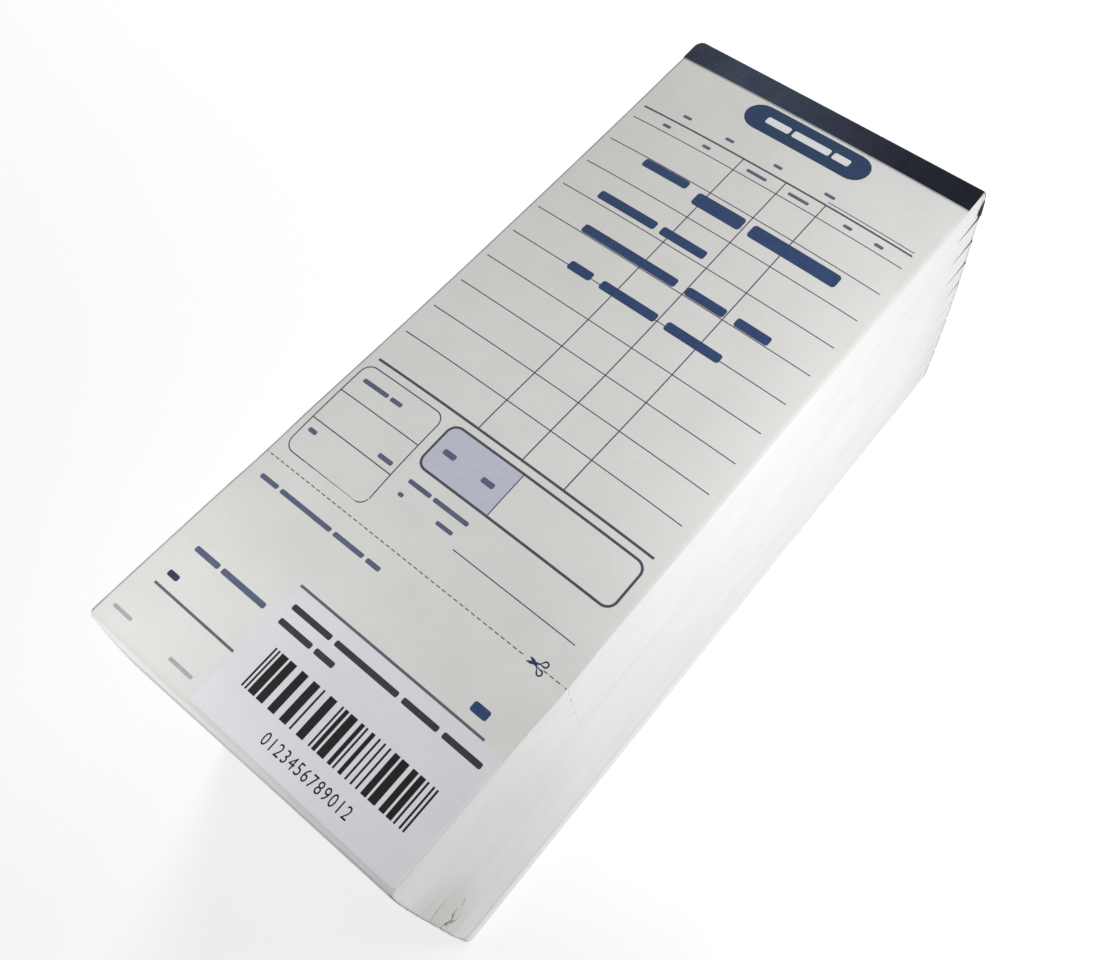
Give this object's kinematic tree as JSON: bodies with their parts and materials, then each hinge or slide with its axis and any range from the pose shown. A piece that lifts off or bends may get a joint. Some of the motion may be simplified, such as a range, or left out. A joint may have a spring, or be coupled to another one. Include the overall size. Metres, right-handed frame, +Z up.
{
  "type": "voucher pad block",
  "caption": "Flush block of loose tape-bound voucher pads; the top leaf turns at the binding and its lower slip folds and tears at a perforation.",
  "frame": {"origin": "middle of the underside of the block, on the surface it rests on", "axes": "+Y along the leaves towards the bound head, +X to the right of the printed form, +Z up out of the top leaf"},
  "size_m": [0.075, 0.176, 0.072],
  "materials": {
    "form_paper": "matt uncoated form paper",
    "leaf_edges": "trimmed edges of stacked leaves",
    "backing_board": "dense greyboard, as heavy as paper",
    "padding_glue": "dried padding adhesive",
    "binding_tape": "navy paper binding tape, fine grain",
    "label_paper": "smooth coated label paper"
  },
  "bodies": {
    "pad_10": {"backing_board_10": "backing_board", "leaf_block_10": "leaf_edges", "head_glue_10": "padding_glue", "binding_tape_10": "binding_tape"},
    "pad_09": {"backing_board_09": "backing_board", "leaf_block_09": "leaf_edges", "head_glue_09": "padding_glue", "binding_tape_09": "binding_tape"},
    "pad_08": {"backing_board_08": "backing_board", "leaf_block_08": "leaf_edges", "head_glue_08": "padding_glue", "binding_tape_08": "binding_tape"},
    "pad_07": {"backing_board_07": "backing_board", "leaf_block_07": "leaf_edges", "head_glue_07": "padding_glue", "binding_tape_07": "binding_tape"},
    "pad_06": {"backing_board_06": "backing_board", "leaf_block_06": "leaf_edges", "head_glue_06": "padding_glue", "binding_tape_06": "binding_tape"},
    "pad_05": {"backing_board_05": "backing_board", "leaf_block_05": "leaf_edges", "head_glue_05": "padding_glue", "binding_tape_05": "binding_tape"},
    "pad_04": {"backing_board_04": "backing_board", "leaf_block_04": "leaf_edges", "head_glue_04": "padding_glue", "binding_tape_04": "binding_tape"},
    "pad_03": {"backing_board_03": "backing_board", "leaf_block_03": "leaf_edges", "head_glue_03": "padding_glue", "binding_tape_03": "binding_tape"},
    "pad_02": {"backing_board_02": "backing_board", "leaf_block_02": "leaf_edges", "head_glue_02": "padding_glue", "binding_tape_02": "binding_tape"},
    "pad_01": {"backing_board_01": "backing_board", "leaf_block_01": "leaf_edges", "head_glue_01": "padding_glue", "binding_tape_01": "binding_tape"},
    "top_leaf": {"top_leaf": "form_paper"},
    "tear_off_slip": {"tear_off_slip": "form_paper", "barcode_label": "label_paper"}
  },
  "joints": [
    {"name": "pad_09_lift", "type": "slide", "parent": "pad_10", "child": "pad_09", "axis": [0, 0, 1], "range_m": [0, 0.05]},
    {"name": "pad_08_lift", "type": "slide", "parent": "pad_09", "child": "pad_08", "axis": [0, 0, 1], "range_m": [0, 0.05]},
    {"name": "pad_07_lift", "type": "slide", "parent": "pad_08", "child": "pad_07", "axis": [0, 0, 1], "range_m": [0, 0.05]},
    {"name": "pad_06_lift", "type": "slide", "parent": "pad_07", "child": "pad_06", "axis": [0, 0, 1], "range_m": [0, 0.05]},
    {"name": "pad_05_lift", "type": "slide", "parent": "pad_06", "child": "pad_05", "axis": [0, 0, 1], "range_m": [0, 0.05]},
    {"name": "pad_04_lift", "type": "slide", "parent": "pad_05", "child": "pad_04", "axis": [0, 0, 1], "range_m": [0, 0.05]},
    {"name": "pad_03_lift", "type": "slide", "parent": "pad_04", "child": "pad_03", "axis": [0, 0, 1], "range_m": [0, 0.05]},
    {"name": "pad_02_lift", "type": "slide", "parent": "pad_03", "child": "pad_02", "axis": [0, 0, 1], "range_m": [0, 0.05]},
    {"name": "pad_01_lift", "type": "slide", "parent": "pad_02", "child": "pad_01", "axis": [0, 0, 1], "range_m": [0, 0.05]},
    {"name": "top_leaf_turn", "type": "hinge", "parent": "pad_01", "child": "top_leaf", "pos_m": [0, 0.08125, 0.072], "axis": [-1, 0, 0], "range_deg": [0, 170]},
    {"name": "slip_fold", "type": "hinge", "parent": "top_leaf", "child": "tear_off_slip", "pos_m": [0, -0.04672, 0.07172], "axis": [-1, 0, 0], "range_deg": [0, 165]}
  ]
}
